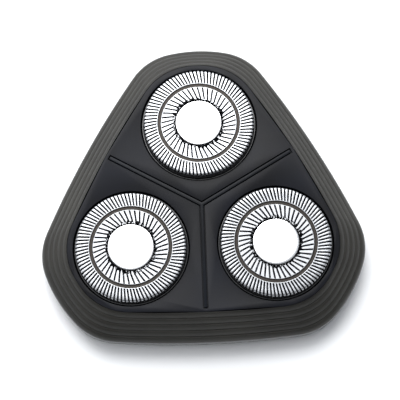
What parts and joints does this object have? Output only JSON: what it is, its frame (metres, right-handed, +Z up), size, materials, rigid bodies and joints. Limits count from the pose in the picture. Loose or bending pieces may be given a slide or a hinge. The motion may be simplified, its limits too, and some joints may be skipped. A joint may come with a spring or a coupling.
{
  "type": "rotary shaver head",
  "caption": "Detachable rounded-triangle shaving unit of a rotary shaver: stepped bezel, dark deck, slotted steel guard caps over spinning cutters, lock knob below.",
  "frame": {"origin": "where the three-fold axis of the heads meets the plane of the rim's foot, on which the unit stands", "axes": "+Z up through the caps, +Y towards the single rear head, X left and right of it"},
  "size_m": [0.0618, 0.0577, 0.0131],
  "materials": {
    "bezel_plastic": "matte moulded, fine ridged",
    "deck_plastic": "satin gloss black",
    "trim_plastic": "satin",
    "inner_plastic": "moulded",
    "frame_plastic": "moulded",
    "knob_plastic": "moulded, satin",
    "hub_plastic": "moulded acetal",
    "seal_rubber": "matte",
    "carrier_plastic": "gloss",
    "cap_steel": "bright, lapped",
    "disc_steel": "polished",
    "cutter_steel": "ground",
    "fastener_steel": "zinc plated",
    "spring_steel": "drawn"
  },
  "bodies": {
    "shell": {"bezel": "bezel_plastic", "rim_seal": "seal_rubber", "face_plate": "deck_plastic", "trim_strip": "trim_plastic", "inner_frame": "inner_plastic", "frame_screws": "fastener_steel", "retaining_frame": "frame_plastic", "knob_washer": "spring_steel", "cap_spring_rear": "spring_steel", "cap_spring_left": "spring_steel", "cap_spring_right": "spring_steel"},
    "knob": {"lock_knob": "knob_plastic", "knob_shaft": "fastener_steel"},
    "carrier_rear": {"carrier_ring_rear": "carrier_plastic"},
    "head_rear": {"guard_cap_rear": "cap_steel", "cap_disc_rear": "disc_steel"},
    "cutter_rear": {"cutter_rear": "cutter_steel", "cutter_hub_rear": "hub_plastic", "cutter_clip_rear": "fastener_steel"},
    "carrier_left": {"carrier_ring_left": "carrier_plastic"},
    "head_left": {"guard_cap_left": "cap_steel", "cap_disc_left": "disc_steel"},
    "cutter_left": {"cutter_left": "cutter_steel", "cutter_hub_left": "hub_plastic", "cutter_clip_left": "fastener_steel"},
    "carrier_right": {"carrier_ring_right": "carrier_plastic"},
    "head_right": {"guard_cap_right": "cap_steel", "cap_disc_right": "disc_steel"},
    "cutter_right": {"cutter_right": "cutter_steel", "cutter_hub_right": "hub_plastic", "cutter_clip_right": "fastener_steel"}
  },
  "joints": [
    {"name": "lock_turn", "type": "hinge", "parent": "shell", "child": "knob", "pos_m": [0, 0, 0.005], "axis": [0, 0, 1], "range_deg": [0, 90]},
    {"name": "rock_rear", "type": "hinge", "parent": "shell", "child": "carrier_rear", "pos_m": [0, 0.01563, 0.0089], "axis": [1, 0, 0], "range_deg": [-2.5, 2.5], "stiffness_Nm_per_rad": 0.05},
    {"name": "float_rear", "type": "slide", "parent": "carrier_rear", "child": "head_rear", "axis": [0, 0.0523, 0.9986], "range_m": [-0.001, 0], "stiffness_N_per_m": 300, "springref_m": 0.002, "deforming": ["cap_spring_rear"]},
    {"name": "spin_rear", "type": "hinge", "parent": "head_rear", "child": "cutter_rear", "pos_m": [0, 0.01575, 0.0112], "axis": [0, 0.0523, 0.9986], "continuous": true},
    {"name": "rock_left", "type": "hinge", "parent": "shell", "child": "carrier_left", "pos_m": [-0.01354, -0.00781, 0.0089], "axis": [-0.5, 0.866, 0], "range_deg": [-2.5, 2.5], "stiffness_Nm_per_rad": 0.05},
    {"name": "float_left", "type": "slide", "parent": "carrier_left", "child": "head_left", "axis": [-0.0453, -0.0262, 0.9986], "range_m": [-0.001, 0], "stiffness_N_per_m": 300, "springref_m": 0.002, "deforming": ["cap_spring_left"]},
    {"name": "spin_left", "type": "hinge", "parent": "head_left", "child": "cutter_left", "pos_m": [-0.01364, -0.00788, 0.0112], "axis": [-0.0453, -0.0262, 0.9986], "continuous": true},
    {"name": "rock_right", "type": "hinge", "parent": "shell", "child": "carrier_right", "pos_m": [0.01354, -0.00781, 0.0089], "axis": [-0.5, -0.866, 0], "range_deg": [-2.5, 2.5], "stiffness_Nm_per_rad": 0.05},
    {"name": "float_right", "type": "slide", "parent": "carrier_right", "child": "head_right", "axis": [0.0453, -0.0262, 0.9986], "range_m": [-0.001, 0], "stiffness_N_per_m": 300, "springref_m": 0.002, "deforming": ["cap_spring_right"]},
    {"name": "spin_right", "type": "hinge", "parent": "head_right", "child": "cutter_right", "pos_m": [0.01364, -0.00788, 0.0112], "axis": [0.0453, -0.0262, 0.9986], "continuous": true}
  ]
}
